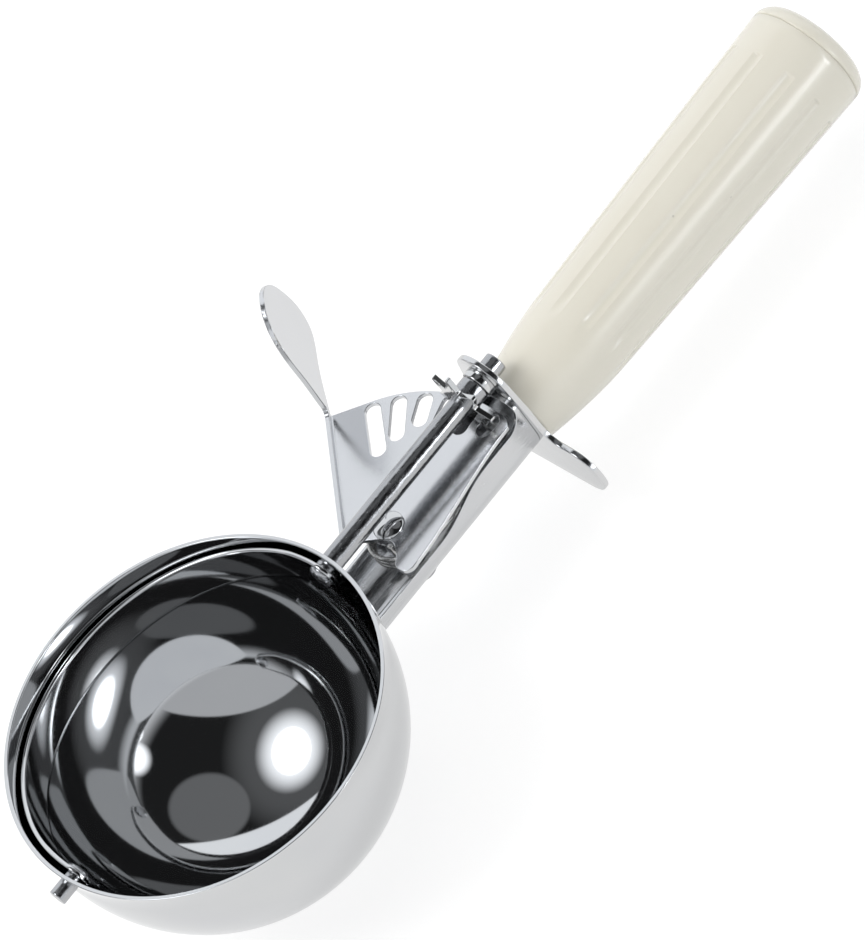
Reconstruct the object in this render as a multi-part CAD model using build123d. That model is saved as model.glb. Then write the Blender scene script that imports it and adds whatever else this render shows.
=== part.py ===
from build123d import *
import math
import os

# A lever ice cream scoop. All sizes are in millimetres.
# The origin is the centre of the bowl's rim, in the plane of the rim. +X runs to the
# handle, +Y is the side of the thumb lever, and +Z points up, out of the bowl.

RUNNING_FIT = 0.05
EDGE_ROUND = 0.25
SHEET = 1.0

# Bowl: a thin half-round bowl whose top band opens a little toward the rim.
BOWL_RADIUS = 37.4
BOWL_WALL = 0.8
BAND_HEIGHT = 5.2
BAND_FLARE = 0.6
RIM_RADIUS = BOWL_RADIUS + BAND_FLARE

# Drive shaft: it lies along X through the bowl's wall and turns the blade.
SHAFT_Z = -3.4
SHAFT_RADIUS = 2.2
SHAFT_STANDOUT = 3.2
NECK_RADIUS = 1.5
HEAD_RADIUS = 2.6
HEAD_HEIGHT = 1.1
HEAD_ROUND = 0.8

# Scraper blade: a strip of a sphere centred on the shaft's line.
BLADE_GAP = 0.55
BLADE_THICKNESS = 0.8
BLADE_WIDTH = 8.4
BLADE_REST_ANGLE = 9.0
TAB_RADIUS = 3.3
TAB_NECK = 6.5
STUD_RADIUS = 1.75
STUD_STANDOUT = 3.0

# Pinion: a star wheel with pointed teeth that dish toward the guard.
TOOTH_COUNT = 7
TOOTH_TIP_RADIUS = 7.2
TOOTH_TIP_HALF = 0.32
TOOTH_ROOT_RADIUS = 4.1
TOOTH_REST_ANGLE = 23.4
PINION_FLAT_RADIUS = 4.2
PINION_DISH = 0.5
HUB_RADIUS = 2.9
HUB_LENGTH = 3.3
HUB_GAP = 0.1

# Guard: a finger guard with an upright ear that carries the shaft.
GUARD_X = 82.4
GUARD_THICKNESS = 1.2
GUARD_HALF_WIDTH = 20.0
GUARD_TOP_Z = -18.6
GUARD_BOTTOM_Z = -30.6
GUARD_CORNER = 5.6
EAR_TOP_Z = 1.8
EAR_SIDE = [(9.2, -20.0), (8.1, -9.5), (6.7, -4.0)]
EAR_ROOT_FILLET = 4.0
BUSH_FLANGE_RADIUS = 3.2
BUSH_FLANGE_LENGTH = 1.8
BUSH_RADIUS = 2.8
BUSH_LIP = 0.4

# Trough between bowl and guard, on the handle's axis.
HANDLE_Z = -16.9
TROUGH_RADIUS = 6.9
TROUGH_WALL = 0.8
TROUGH_START_X = 20.0
TROUGH_LOW_Z = -16.0
TROUGH_HIGH_Z = -12.0
TROUGH_LOW_REACH = 3.0
TROUGH_HIGH_REACH = 10.4
END_WALL_TOP_Z = -7.0
END_WALL_BLEND = 4.0
END_WALL_CORNER = 2.5
SADDLE_MARGIN = 1.8
SADDLE_THICKNESS = 1.0
SADDLE_TOP_Z = -14.8
BEAD_WIDTH = 0.6

# Thumb lever: a fan of flat sheet on a pivot, with an upright along its leading edge.
# The points of the fan are (x, y) from the pivot, those of the pad (along the edge, up).
MESH_RADIUS = 25.7
LEVER_TOP_Z = -9.4
LEVER_END_GAP = 1.2
LEADING_ANGLE = 49.2
LEADING_OFFSET = 9.5
LEADING_LENGTH = 29.6
RIM_START_ANGLE = -6.7
FAN_CORNER = (28.7, -5.4)
FAN_TRAILING_EDGE = [(27.4, -7.0), (19.8, -7.5), (12.2, -8.6), (0.9, -10.2), (-4.4, -10.6)]
FAN_HOOK = [(-4.4, -10.6), (-6.1, -8.8), (-5.6, -6.9)]
FAN_NOTCH = [(-5.6, -6.9), (-3.8, -5.5), (-2.5, -3.7)]
FAN_NOTCH_END = [(-2.5, -3.7), (-2.3, -2.0), (-3.4, 0.2)]
BEND_RADIUS = 0.3
FLANGE_HEIGHT = 1.0
FLANGE_CORNER = 0.3
PAD_FOOT_RADIUS = 1.5
PAD_FOOT_X = 0.5
PAD_OUTER_EDGE = [(0.9, 10.5), (1.5, 22.4), (4.4, 27.1), (9.3, 28.0), (14.5, 24.3)]
PAD_INNER_EDGE = [(17.6, 17.0), (18.7, 9.4), (17.2, 5.2), (9.5, 3.3)]
SLOT_WIDTH = 3.2
SLOT_RIM = 0.6
SLOT_LENGTHS = [5.2, 7.2, 6.7, 7.2, 9.9, 12.3]
SLOT_LAG = 0.6
GEAR_RATIO = 4.55

# Lever post, journal, rivet, washer and return spring.
POST_RADIUS = 3.0
POST_FOOT_RADIUS = 2.0
POST_FOOT_HEIGHT = 0.9
JOURNAL_RADIUS = 2.0
RIVET_HEAD_RADIUS = 3.1
RIVET_HEAD_HEIGHT = 1.45
RIVET_HEAD_LAND = 0.3
RIVET_SHANK_RADIUS = 1.2
RIVET_SHANK_LENGTH = 5.0
WASHER_RADIUS = 3.6
WASHER_THICKNESS = 0.3
WIRE_RADIUS = 0.5
COIL_RADIUS = 5.3
COIL_PITCH = 1.2
COIL_COUNT = 3
COIL_BOTTOM_Z = -15.2
SPRING_NOTCH_ANGLE = -130.2
SPRING_LEG_LENGTH = 14.0
SPRING_TIP_Z = -8.4

# Handle, end cap and the bolt that clamps trough, guard and handle.
# The neck's points are (distance behind the guard, radius).
HANDLE_NECK = [(0.0, 7.8), (6.4, 9.0), (12.9, 9.9), (19.4, 10.4)]
HANDLE_LENGTH = 88.1
SEAM_RADIUS = 12.3
SEAM_CHAMFER = 0.25
CAP_LENGTH = 3.6
FLUTE_COUNT = 10
FLUTE_FIRST_ANGLE = 39.5
FLUTE_WIDTH = 2.3
FLUTE_DEPTH = 0.5
FLUTE_START = 15.4
FLUTE_FULL = 22.4
FLUTE_END = 80.1
BOLT_RADIUS = 3.0
BOLT_HEAD_RADIUS = 4.6
BOLT_HEAD_HEIGHT = 3.0
BOLT_SLOT = 1.2
BOLT_STANDOUT = 1.4
BUTT_BORE_RADIUS = 8.0
BUTT_BORE_DEPTH = 8.7
BOLT_WASHER_RADIUS = 7.0
BOLT_WASHER_THICKNESS = 1.2
NUT_FLATS = 10.0
NUT_HEIGHT = 5.0
CAP_SPIGOT_WALL = 1.4
CAP_SPIGOT_LENGTH = 3.5

# Places along X that follow from the guard's.
GUARD_BACK_X = GUARD_X + GUARD_THICKNESS
END_WALL_X = GUARD_X - SHEET
SHAFT_END_X = GUARD_BACK_X + SHAFT_STANDOUT
BUSH_FRONT_X = GUARD_X - BUSH_FLANGE_LENGTH
HUB_END_X = BUSH_FRONT_X - HUB_GAP
PINION_X = HUB_END_X - HUB_LENGTH - SHEET
PIVOT_X = PINION_X + SHEET / 2 - MESH_RADIUS
LEVER_RADIUS = END_WALL_X - LEVER_END_GAP - PIVOT_X
SLOT_OUTER_RADIUS = LEVER_RADIUS - SLOT_RIM
TROUGH_RISE_START_X = PIVOT_X + TROUGH_LOW_REACH
TROUGH_RISE_END_X = END_WALL_X - TROUGH_HIGH_REACH
SEAM_X = GUARD_BACK_X + HANDLE_LENGTH
BUTT_BORE_X = SEAM_X - BUTT_BORE_DEPTH
BOLT_END_X = BUTT_BORE_X + BOLT_WASHER_THICKNESS + NUT_HEIGHT + BOLT_STANDOUT

# Heights and radii that follow from the fits.
LEVER_BOTTOM_Z = LEVER_TOP_Z - SHEET
JOURNAL_TOP_Z = LEVER_TOP_Z + RUNNING_FIT
WASHER_TOP_Z = LEVER_BOTTOM_Z - RUNNING_FIT
POST_TOP_Z = WASHER_TOP_Z - WASHER_THICKNESS
BLADE_RADIUS = BOWL_RADIUS - BOWL_WALL - BLADE_GAP
BLADE_INNER_RADIUS = BLADE_RADIUS - BLADE_THICKNESS


def turned(outline, centre_z):
    """Turn a closed outline of (x, radius) points about the X line at height centre_z."""
    face = Plane.XZ * make_face(Polyline(*outline, close=True))
    return Pos(0, 0, centre_z) * revolve(face, axis=Axis.X)


def rod(start_x, end_x, radius, centre_z):
    """A plain round bar along X."""
    return turned([(start_x, 0), (start_x, radius), (end_x, radius), (end_x, 0)], centre_z)


def post(x, y, low_z, high_z, radius):
    """A plain round bar along Z."""
    return Pos(x, y, low_z) * extrude(Circle(radius), high_z - low_z)


def bar_between(start, end, radius):
    """A round bar from one point to another."""
    path = Line(start, end)
    return extrude(Plane(path @ 0, z_dir=path % 0) * Circle(radius), path.length)


def bowl_body(wall_inset):
    """The bowl's outside moved in by wall_inset, filled up to the rim."""
    low = -BAND_HEIGHT
    radius = BOWL_RADIUS - wall_inset
    below = (Align.CENTER, Align.CENTER, Align.MAX)
    above = (Align.CENTER, Align.CENTER, Align.MIN)
    round_part = Sphere(radius, arc_size1=-90, arc_size2=0, align=below)
    band = Cone(radius, RIM_RADIUS - wall_inset, BAND_HEIGHT, align=above)
    return Pos(0, 0, low) * (round_part + band)


def make_bowl():
    bowl = bowl_body(0) - bowl_body(BOWL_WALL)
    bowl -= rod(0, RIM_RADIUS + 1, SHAFT_RADIUS + RUNNING_FIT, SHAFT_Z)
    bowl -= rod(-RIM_RADIUS - 1, 0, STUD_RADIUS + RUNNING_FIT, SHAFT_Z)
    return bowl


def make_blade():
    """A strip of a thin sphere, seen along X as a band that narrows to a round tab."""
    half = BLADE_WIDTH / 2
    reach = BLADE_RADIUS + 1
    band = make_face(
        Polyline(
            (0, TAB_RADIUS),
            (TAB_NECK, half),
            (reach, half),
            (reach, -half),
            (TAB_NECK, -half),
            (0, -TAB_RADIUS),
            close=True,
        )
    )
    outline = band + Circle(TAB_RADIUS)
    strip = extrude(Plane.YZ * outline, reach, both=True)
    shell = Sphere(BLADE_RADIUS) - Sphere(BLADE_INNER_RADIUS)
    blade = shell & strip
    blade -= rod(-reach, reach, NECK_RADIUS + RUNNING_FIT, 0)
    return Pos(0, 0, SHAFT_Z) * Rot(-BLADE_REST_ANGLE, 0, 0) * blade


def blade_bearing(end_x, radius, end_round):
    """A bar that ends in a shoulder outside the blade's tab, a neck and a peened head."""
    head_x = BLADE_INNER_RADIUS - 0.1
    bearing = rod(BLADE_RADIUS, end_x, radius, 0)
    bearing = fillet(bearing.edges().sort_by(Axis.X)[-1], end_round)
    bearing += rod(head_x, BLADE_RADIUS, NECK_RADIUS, 0)
    head = rod(head_x - HEAD_HEIGHT, head_x, HEAD_RADIUS, 0)
    bearing += fillet(head.edges().sort_by(Axis.X)[0], HEAD_ROUND)
    return bearing


def make_shaft():
    return Pos(0, 0, SHAFT_Z) * blade_bearing(SHAFT_END_X, SHAFT_RADIUS, 0.4)


def make_stud():
    stud = blade_bearing(RIM_RADIUS + STUD_STANDOUT, STUD_RADIUS, 0.3)
    return Pos(0, 0, SHAFT_Z) * Rot(0, 0, 180) * stud


def star_outline():
    """Pointed teeth with blunt tips and rounded roots, one tooth at TOOTH_REST_ANGLE."""
    step = 360 / TOOTH_COUNT
    points = []
    for tooth in range(TOOTH_COUNT):
        middle = math.radians(TOOTH_REST_ANGLE - 90 + tooth * step)
        half = math.atan(TOOTH_TIP_HALF / TOOTH_TIP_RADIUS)
        root = middle + math.radians(step / 2)
        for radius, angle in (
            (TOOTH_TIP_RADIUS, middle - half),
            (TOOTH_TIP_RADIUS, middle + half),
            (TOOTH_ROOT_RADIUS, root),
        ):
            points.append((radius * math.cos(angle), radius * math.sin(angle)))
    star = make_face(Polyline(*points, close=True))
    roots = star.vertices().filter_by(lambda v: math.hypot(v.X, v.Y) < PINION_FLAT_RADIUS)
    star = fillet(roots, 0.6)
    tips = star.vertices().filter_by(lambda v: math.hypot(v.X, v.Y) > TOOTH_TIP_RADIUS - 0.1)
    return fillet(tips, EDGE_ROUND)


def make_pinion():
    wide = TOOTH_TIP_RADIUS + 1
    dish = [
        (PINION_X, 0),
        (PINION_X, PINION_FLAT_RADIUS),
        (PINION_X + PINION_DISH, wide),
        (PINION_X + PINION_DISH + SHEET, wide),
        (PINION_X + SHEET, PINION_FLAT_RADIUS),
        (PINION_X + SHEET, 0),
    ]
    star = extrude(Plane.YZ.offset(PINION_X - 1) * star_outline(), 4)
    star = Pos(0, 0, SHAFT_Z) * star
    star &= turned(dish, SHAFT_Z)
    return star - rod(PINION_X - 1, PINION_X + 3, SHAFT_RADIUS, SHAFT_Z)


def make_pinion_hub():
    hub = rod(PINION_X + SHEET, HUB_END_X, HUB_RADIUS, SHAFT_Z)
    hub = chamfer(hub.edges().sort_by(Axis.X)[-1], 0.3)
    return hub - rod(PINION_X, HUB_END_X + 1, SHAFT_RADIUS, SHAFT_Z)


def make_guard_bush():
    outline = [
        (BUSH_FRONT_X, SHAFT_RADIUS + RUNNING_FIT),
        (BUSH_FRONT_X, BUSH_FLANGE_RADIUS - 0.4),
        (BUSH_FRONT_X + 0.4, BUSH_FLANGE_RADIUS),
        (GUARD_X, BUSH_FLANGE_RADIUS),
        (GUARD_X, BUSH_RADIUS),
        (GUARD_BACK_X + BUSH_LIP, BUSH_RADIUS),
        (GUARD_BACK_X + BUSH_LIP, SHAFT_RADIUS + RUNNING_FIT),
    ]
    return turned(outline, SHAFT_Z)


def make_guard():
    """A wide rounded plate with a tapering ear whose top is an arc round the shaft."""
    left_side = [(-y, z) for y, z in EAR_SIDE]
    left = Polyline(*left_side)
    right = Polyline(*EAR_SIDE)
    top = ThreePointArc(left_side[-1], (0, EAR_TOP_Z), EAR_SIDE[-1])
    base = Line(left_side[0], EAR_SIDE[0])
    ear = make_face([left, top, right, base])
    height = GUARD_TOP_Z - GUARD_BOTTOM_Z
    body = RectangleRounded(2 * GUARD_HALF_WIDTH, height, GUARD_CORNER)
    outline = ear + Pos(0, GUARD_BOTTOM_Z + height / 2) * body
    inner_corners = outline.vertices().filter_by(
        lambda v: abs(v.Y - GUARD_TOP_Z) < 0.1 and abs(v.X) < EAR_SIDE[0][0] + 1
    )
    outline = fillet(inner_corners, EAR_ROOT_FILLET)
    guard = extrude(Plane.YZ.offset(GUARD_X) * outline, GUARD_THICKNESS)
    rims = guard.edges().filter_by(lambda e: e.length > 2 * GUARD_THICKNESS)
    guard = fillet(rims, EDGE_ROUND)
    guard -= rod(GUARD_X - 1, GUARD_BACK_X + 1, BUSH_RADIUS, SHAFT_Z)
    return guard - rod(GUARD_X - 1, GUARD_BACK_X + 1, BOLT_RADIUS + RUNNING_FIT, HANDLE_Z)


def trough_section(radius, top_z):
    """A half round below the handle's axis with straight sides up to top_z."""
    sides = Pos(0, (HANDLE_Z + top_z) / 2) * Rectangle(2 * radius, top_z - HANDLE_Z)
    return Pos(0, HANDLE_Z) * Circle(radius) + sides


def trough_side_view():
    """The trough seen from the side: low walls by the bowl that rise and sweep up to the end."""
    corner_x = END_WALL_X - END_WALL_BLEND
    mid_x = END_WALL_X - END_WALL_BLEND * (1 - math.sin(math.radians(45)))
    mid_z = TROUGH_HIGH_Z + END_WALL_BLEND * (1 - math.cos(math.radians(45)))
    blend_top = (END_WALL_X, TROUGH_HIGH_Z + END_WALL_BLEND)
    low_z = HANDLE_Z - TROUGH_RADIUS - 1
    top = [
        Line((TROUGH_START_X, low_z), (TROUGH_START_X, TROUGH_LOW_Z)),
        Line((TROUGH_START_X, TROUGH_LOW_Z), (TROUGH_RISE_START_X, TROUGH_LOW_Z)),
        Spline(
            (TROUGH_RISE_START_X, TROUGH_LOW_Z),
            (TROUGH_RISE_END_X, TROUGH_HIGH_Z),
            tangents=[(1, 0), (1, 0)],
        ),
        Line((TROUGH_RISE_END_X, TROUGH_HIGH_Z), (corner_x, TROUGH_HIGH_Z)),
        ThreePointArc((corner_x, TROUGH_HIGH_Z), (mid_x, mid_z), blend_top),
        Line(blend_top, (END_WALL_X, END_WALL_TOP_Z)),
        Line((END_WALL_X, END_WALL_TOP_Z), (GUARD_X, END_WALL_TOP_Z)),
        Line((GUARD_X, END_WALL_TOP_Z), (GUARD_X, low_z)),
        Line((GUARD_X, low_z), (TROUGH_START_X, low_z)),
    ]
    return extrude(Plane.XZ * make_face(top), TROUGH_RADIUS + SADDLE_MARGIN + 1, both=True)


def make_trough():
    outside = trough_section(TROUGH_RADIUS, END_WALL_TOP_Z)
    inside = trough_section(TROUGH_RADIUS - TROUGH_WALL, 0)
    start = Plane.YZ.offset(TROUGH_START_X)
    trough = extrude(start * outside, GUARD_X - TROUGH_START_X)
    trough -= extrude(start * inside, END_WALL_X - TROUGH_START_X)
    trough &= trough_side_view()
    corners = trough.edges().filter_by(Axis.X).filter_by(
        lambda e: abs(e.center().Z - END_WALL_TOP_Z) < 0.1
    )
    trough = fillet(corners, END_WALL_CORNER)
    saddle_outside = trough_section(TROUGH_RADIUS + SADDLE_MARGIN, SADDLE_TOP_Z)
    saddle_inside = trough_section(TROUGH_RADIUS - TROUGH_WALL, 0)
    saddle = extrude(start * (saddle_outside - saddle_inside), RIM_RADIUS)
    saddle &= bowl_body(-SADDLE_THICKNESS)
    trough = (trough + saddle) - bowl_body(0)
    trough -= post(PIVOT_X, 0, HANDLE_Z - TROUGH_RADIUS - 1, HANDLE_Z, POST_FOOT_RADIUS)
    return trough - rod(END_WALL_X - 1, GUARD_X + 1, BOLT_RADIUS + RUNNING_FIT, HANDLE_Z)


def make_braze():
    """The bead of silver solder round the saddle's edge."""
    edge = TROUGH_RADIUS + SADDLE_MARGIN
    outside = trough_section(edge + BEAD_WIDTH, SADDLE_TOP_Z)
    ring = outside - trough_section(edge, 0)
    bead = extrude(Plane.YZ.offset(TROUGH_START_X) * ring, RIM_RADIUS)
    return (bead & bowl_body(-BEAD_WIDTH)) - bowl_body(0)


def leading_point(along, out):
    """A point from the pivot: a length along the leading edge's direction, another out of it."""
    angle = math.radians(LEADING_ANGLE)
    x = along * math.cos(angle) - out * math.sin(angle)
    y = along * math.sin(angle) + out * math.cos(angle)
    return (x, y)


def leading_plane():
    """A plane on the leading edge's outer face: x along the edge, y up, z into the fan."""
    end_x, end_y = leading_point(LEVER_RADIUS, LEADING_OFFSET)
    x_dir = leading_point(1, 0)
    z_dir = leading_point(0, -1)
    return Plane(
        origin=(PIVOT_X + end_x, end_y, LEVER_TOP_Z),
        x_dir=(x_dir[0], x_dir[1], 0),
        z_dir=(z_dir[0], z_dir[1], 0),
    )


def fan_outline():
    """The flat fan from the pivot: its rim is an arc that runs out square to the leading edge."""
    inner_offset = LEADING_OFFSET - BEND_RADIUS - SHEET
    near = leading_point(LEVER_RADIUS - LEADING_LENGTH, inner_offset)
    far = leading_point(LEVER_RADIUS, inner_offset)
    arc_end = leading_point(LEVER_RADIUS, 0)
    start = math.radians(RIM_START_ANGLE)
    middle = math.radians((RIM_START_ANGLE + LEADING_ANGLE) / 2)
    arc_start = (LEVER_RADIUS * math.cos(start), LEVER_RADIUS * math.sin(start))
    arc_middle = (LEVER_RADIUS * math.cos(middle), LEVER_RADIUS * math.sin(middle))
    outline = [
        Polyline(near, far, arc_end),
        ThreePointArc(arc_end, arc_middle, arc_start),
        ThreePointArc(arc_start, FAN_CORNER, FAN_TRAILING_EDGE[0]),
        Spline(*FAN_TRAILING_EDGE),
        ThreePointArc(*FAN_HOOK),
        Polyline(*FAN_NOTCH),
        ThreePointArc(*FAN_NOTCH_END),
        Line(FAN_NOTCH_END[-1], near),
    ]
    return Pos(PIVOT_X, 0) * make_face(outline)


def pad_outline():
    """The upright: a low flange that grows into the tall rounded thumb pad."""
    low = BEND_RADIUS
    near_x = -LEADING_LENGTH
    cut = 1 - math.cos(math.radians(45))
    corner_z = FLANGE_HEIGHT - FLANGE_CORNER
    corner_mid = (near_x + cut * FLANGE_CORNER, FLANGE_HEIGHT - cut * FLANGE_CORNER)
    corner_end = (near_x + FLANGE_CORNER, FLANGE_HEIGHT)
    foot_start = (PAD_FOOT_X - PAD_FOOT_RADIUS, FLANGE_HEIGHT)
    foot_mid = (PAD_FOOT_X - cut * PAD_FOOT_RADIUS, FLANGE_HEIGHT + cut * PAD_FOOT_RADIUS)
    foot_end = (PAD_FOOT_X, FLANGE_HEIGHT + PAD_FOOT_RADIUS)
    pad = [foot_end, *PAD_OUTER_EDGE, *PAD_INNER_EDGE, (0, low)]
    return make_face(
        [
            Line((near_x, low), (near_x, corner_z)),
            ThreePointArc((near_x, corner_z), corner_mid, corner_end),
            Line(corner_end, foot_start),
            ThreePointArc(foot_start, foot_mid, foot_end),
            Spline(*pad, tangents=[(0, 1), (-1, -0.3)]),
            Line((0, low), (near_x, low)),
        ]
    )


def make_thumb_lever():
    """The fan, the bend along its leading edge and the upright, with the bore and the slots."""
    plane = leading_plane()
    setback = BEND_RADIUS + SHEET
    ring = Circle(setback) - Circle(BEND_RADIUS)
    quarter = ring & (Pos(-setback / 2, -setback / 2) * Rectangle(setback, setback))
    profile_plane = Plane(plane.origin, x_dir=plane.z_dir, z_dir=-plane.x_dir)
    lever = Pos(0, 0, LEVER_BOTTOM_Z) * extrude(fan_outline(), SHEET)
    lever += extrude(profile_plane * Pos(setback, BEND_RADIUS) * quarter, LEADING_LENGTH)
    lever += extrude(plane * pad_outline(), SHEET)
    lever -= post(PIVOT_X, 0, LEVER_BOTTOM_Z - 1, LEVER_TOP_Z + 1, JOURNAL_RADIUS + RUNNING_FIT)
    first_angle = (TOOTH_REST_ANGLE - 360 / TOOTH_COUNT) / GEAR_RATIO - SLOT_LAG
    step = 360 / TOOTH_COUNT / GEAR_RATIO
    for number, length in enumerate(SLOT_LENGTHS):
        slot = Pos(SLOT_OUTER_RADIUS - length / 2, 0) * SlotOverall(length, SLOT_WIDTH)
        cutter = Rot(0, 0, first_angle + number * step) * extrude(slot, 3 * SHEET)
        lever -= Pos(PIVOT_X, 0, LEVER_BOTTOM_Z - SHEET) * cutter
    return lever


def make_lever_post():
    """A post riveted through the trough's floor, with a journal for the lever."""
    low_z = HANDLE_Z - TROUGH_RADIUS
    body = post(PIVOT_X, 0, low_z, POST_TOP_Z, POST_RADIUS)
    body += post(PIVOT_X, 0, low_z - POST_FOOT_HEIGHT, low_z + TROUGH_WALL, POST_RADIUS)
    body -= make_trough()
    body += post(PIVOT_X, 0, POST_TOP_Z, JOURNAL_TOP_Z, JOURNAL_RADIUS)
    bore = post(PIVOT_X, 0, JOURNAL_TOP_Z - RIVET_SHANK_LENGTH, JOURNAL_TOP_Z, RIVET_SHANK_RADIUS)
    return body - bore


def make_lever_rivet():
    """A domed head on the journal with a shank in the post's bore."""
    rise = RIVET_HEAD_HEIGHT - RIVET_HEAD_LAND
    dome_radius = (RIVET_HEAD_RADIUS**2 + rise**2) / (2 * rise)
    head_top = JOURNAL_TOP_Z + RIVET_HEAD_HEIGHT
    head = post(PIVOT_X, 0, JOURNAL_TOP_Z, head_top, RIVET_HEAD_RADIUS)
    head &= Pos(PIVOT_X, 0, head_top - dome_radius) * Sphere(dome_radius)
    low_z = JOURNAL_TOP_Z - RIVET_SHANK_LENGTH
    return head + post(PIVOT_X, 0, low_z, JOURNAL_TOP_Z, RIVET_SHANK_RADIUS)


def make_lever_washer():
    ring = Circle(WASHER_RADIUS) - Circle(JOURNAL_RADIUS + RUNNING_FIT)
    return Pos(PIVOT_X, 0, POST_TOP_Z) * extrude(ring, WASHER_THICKNESS)


def make_spring():
    """A coil round the post: one leg lies in the trough, the other stands in the notch."""
    notch_angle = math.radians(SPRING_NOTCH_ANGLE)
    turn = COIL_COUNT + (-90 - SPRING_NOTCH_ANGLE) / 360
    height = turn * COIL_PITCH
    path = Helix(COIL_PITCH, height, COIL_RADIUS, lefthand=True)
    coil = sweep(Plane(path @ 0, z_dir=path % 0) * Circle(WIRE_RADIUS), path=path, is_frenet=True)
    coil = Pos(PIVOT_X, 0, COIL_BOTTOM_Z) * Rot(0, 0, -90) * coil
    start = (PIVOT_X, -COIL_RADIUS, COIL_BOTTOM_Z)
    wall_y = -(TROUGH_RADIUS - TROUGH_WALL - WIRE_RADIUS - RUNNING_FIT)
    leg_end = (PIVOT_X + SPRING_LEG_LENGTH, wall_y, COIL_BOTTOM_Z)
    top = (
        PIVOT_X + COIL_RADIUS * math.cos(notch_angle),
        COIL_RADIUS * math.sin(notch_angle),
        COIL_BOTTOM_Z + height,
    )
    tip = (top[0], top[1], SPRING_TIP_Z)
    spring = coil + Pos(*start) * Sphere(WIRE_RADIUS) + bar_between(start, leg_end, WIRE_RADIUS)
    return spring + Pos(*top) * Sphere(WIRE_RADIUS) + bar_between(top, tip, WIRE_RADIUS)


def handle_radius(distance):
    """The radius of the handle's straight taper at a distance behind the guard."""
    start, start_radius = HANDLE_NECK[-1]
    slope = (SEAM_RADIUS - start_radius) / (HANDLE_LENGTH - start)
    return start_radius + slope * (distance - start)


def flute_cutter():
    """A round bar sunk FLUTE_DEPTH into the handle's top that rises out toward the guard."""
    radius = (FLUTE_WIDTH**2 / 4 + FLUTE_DEPTH**2) / (2 * FLUTE_DEPTH)
    lift = radius - FLUTE_DEPTH
    start = (FLUTE_START, 0, handle_radius(FLUTE_START) + radius)
    full = (FLUTE_FULL, 0, handle_radius(FLUTE_FULL) + lift)
    end = (FLUTE_END, 0, handle_radius(FLUTE_END) + lift)
    cutter = bar_between(start, full, radius) + Pos(*full) * Sphere(radius)
    return cutter + bar_between(full, end, radius)


def make_handle():
    """The fluted grip, drawn from the guard's back face."""
    bore = BOLT_RADIUS + RUNNING_FIT
    neck = Spline(*HANDLE_NECK, tangents=[(1, 0.2), (1, 0.03)])
    outline = [
        neck,
        Polyline(
            HANDLE_NECK[-1],
            (HANDLE_LENGTH - SEAM_CHAMFER, SEAM_RADIUS),
            (HANDLE_LENGTH, SEAM_RADIUS - SEAM_CHAMFER),
            (HANDLE_LENGTH, BUTT_BORE_RADIUS),
            (HANDLE_LENGTH - BUTT_BORE_DEPTH, BUTT_BORE_RADIUS),
            (HANDLE_LENGTH - BUTT_BORE_DEPTH, bore),
            (0, bore),
            HANDLE_NECK[0],
        ),
    ]
    handle = revolve(Plane.XZ * make_face(outline), axis=Axis.X)
    cutter = flute_cutter()
    for number in range(FLUTE_COUNT):
        handle -= Rot(FLUTE_FIRST_ANGLE + number * 360 / FLUTE_COUNT, 0, 0) * cutter
    return Pos(GUARD_BACK_X, 0, HANDLE_Z) * handle


def make_end_cap():
    flat = SEAM_RADIUS - CAP_LENGTH
    diagonal = CAP_LENGTH * math.sin(math.radians(45))
    end_x = SEAM_X + CAP_LENGTH
    spigot = BUTT_BORE_RADIUS - RUNNING_FIT
    outline = [
        Line((end_x, 0), (end_x, flat)),
        ThreePointArc(
            (end_x, flat),
            (SEAM_X + diagonal, flat + diagonal),
            (SEAM_X + SEAM_CHAMFER, SEAM_RADIUS - 0.01),
        ),
        Polyline(
            (SEAM_X + SEAM_CHAMFER, SEAM_RADIUS - 0.01),
            (SEAM_X, SEAM_RADIUS - SEAM_CHAMFER),
            (SEAM_X, spigot),
            (SEAM_X - CAP_SPIGOT_LENGTH, spigot),
            (SEAM_X - CAP_SPIGOT_LENGTH, spigot - CAP_SPIGOT_WALL),
            (SEAM_X, spigot - CAP_SPIGOT_WALL),
            (SEAM_X, 0),
            (end_x, 0),
        ),
    ]
    return Pos(0, 0, HANDLE_Z) * revolve(Plane.XZ * make_face(outline), axis=Axis.X)


def make_bolt():
    head_x = END_WALL_X - BOLT_HEAD_HEIGHT
    head = rod(head_x, END_WALL_X, BOLT_HEAD_RADIUS, HANDLE_Z)
    head = fillet(head.edges().sort_by(Axis.X)[0], 0.8)
    head -= Pos(head_x, 0, HANDLE_Z) * Box(2 * BOLT_SLOT, 3 * BOLT_HEAD_RADIUS, BOLT_SLOT)
    shank = rod(END_WALL_X, BOLT_END_X, BOLT_RADIUS, HANDLE_Z)
    return head + chamfer(shank.edges().sort_by(Axis.X)[-1], 0.5)


def make_bolt_washer():
    outline = [
        (BUTT_BORE_X, BOLT_RADIUS + RUNNING_FIT),
        (BUTT_BORE_X, BOLT_WASHER_RADIUS),
        (BUTT_BORE_X + BOLT_WASHER_THICKNESS, BOLT_WASHER_RADIUS),
        (BUTT_BORE_X + BOLT_WASHER_THICKNESS, BOLT_RADIUS + RUNNING_FIT),
    ]
    return turned(outline, HANDLE_Z)


def make_bolt_nut():
    seat_x = BUTT_BORE_X + BOLT_WASHER_THICKNESS
    hexagon = RegularPolygon(NUT_FLATS / 2, 6, major_radius=False) - Circle(BOLT_RADIUS)
    nut = extrude(Plane.YZ.offset(seat_x) * hexagon, NUT_HEIGHT)
    return Pos(0, 0, HANDLE_Z) * nut


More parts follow.
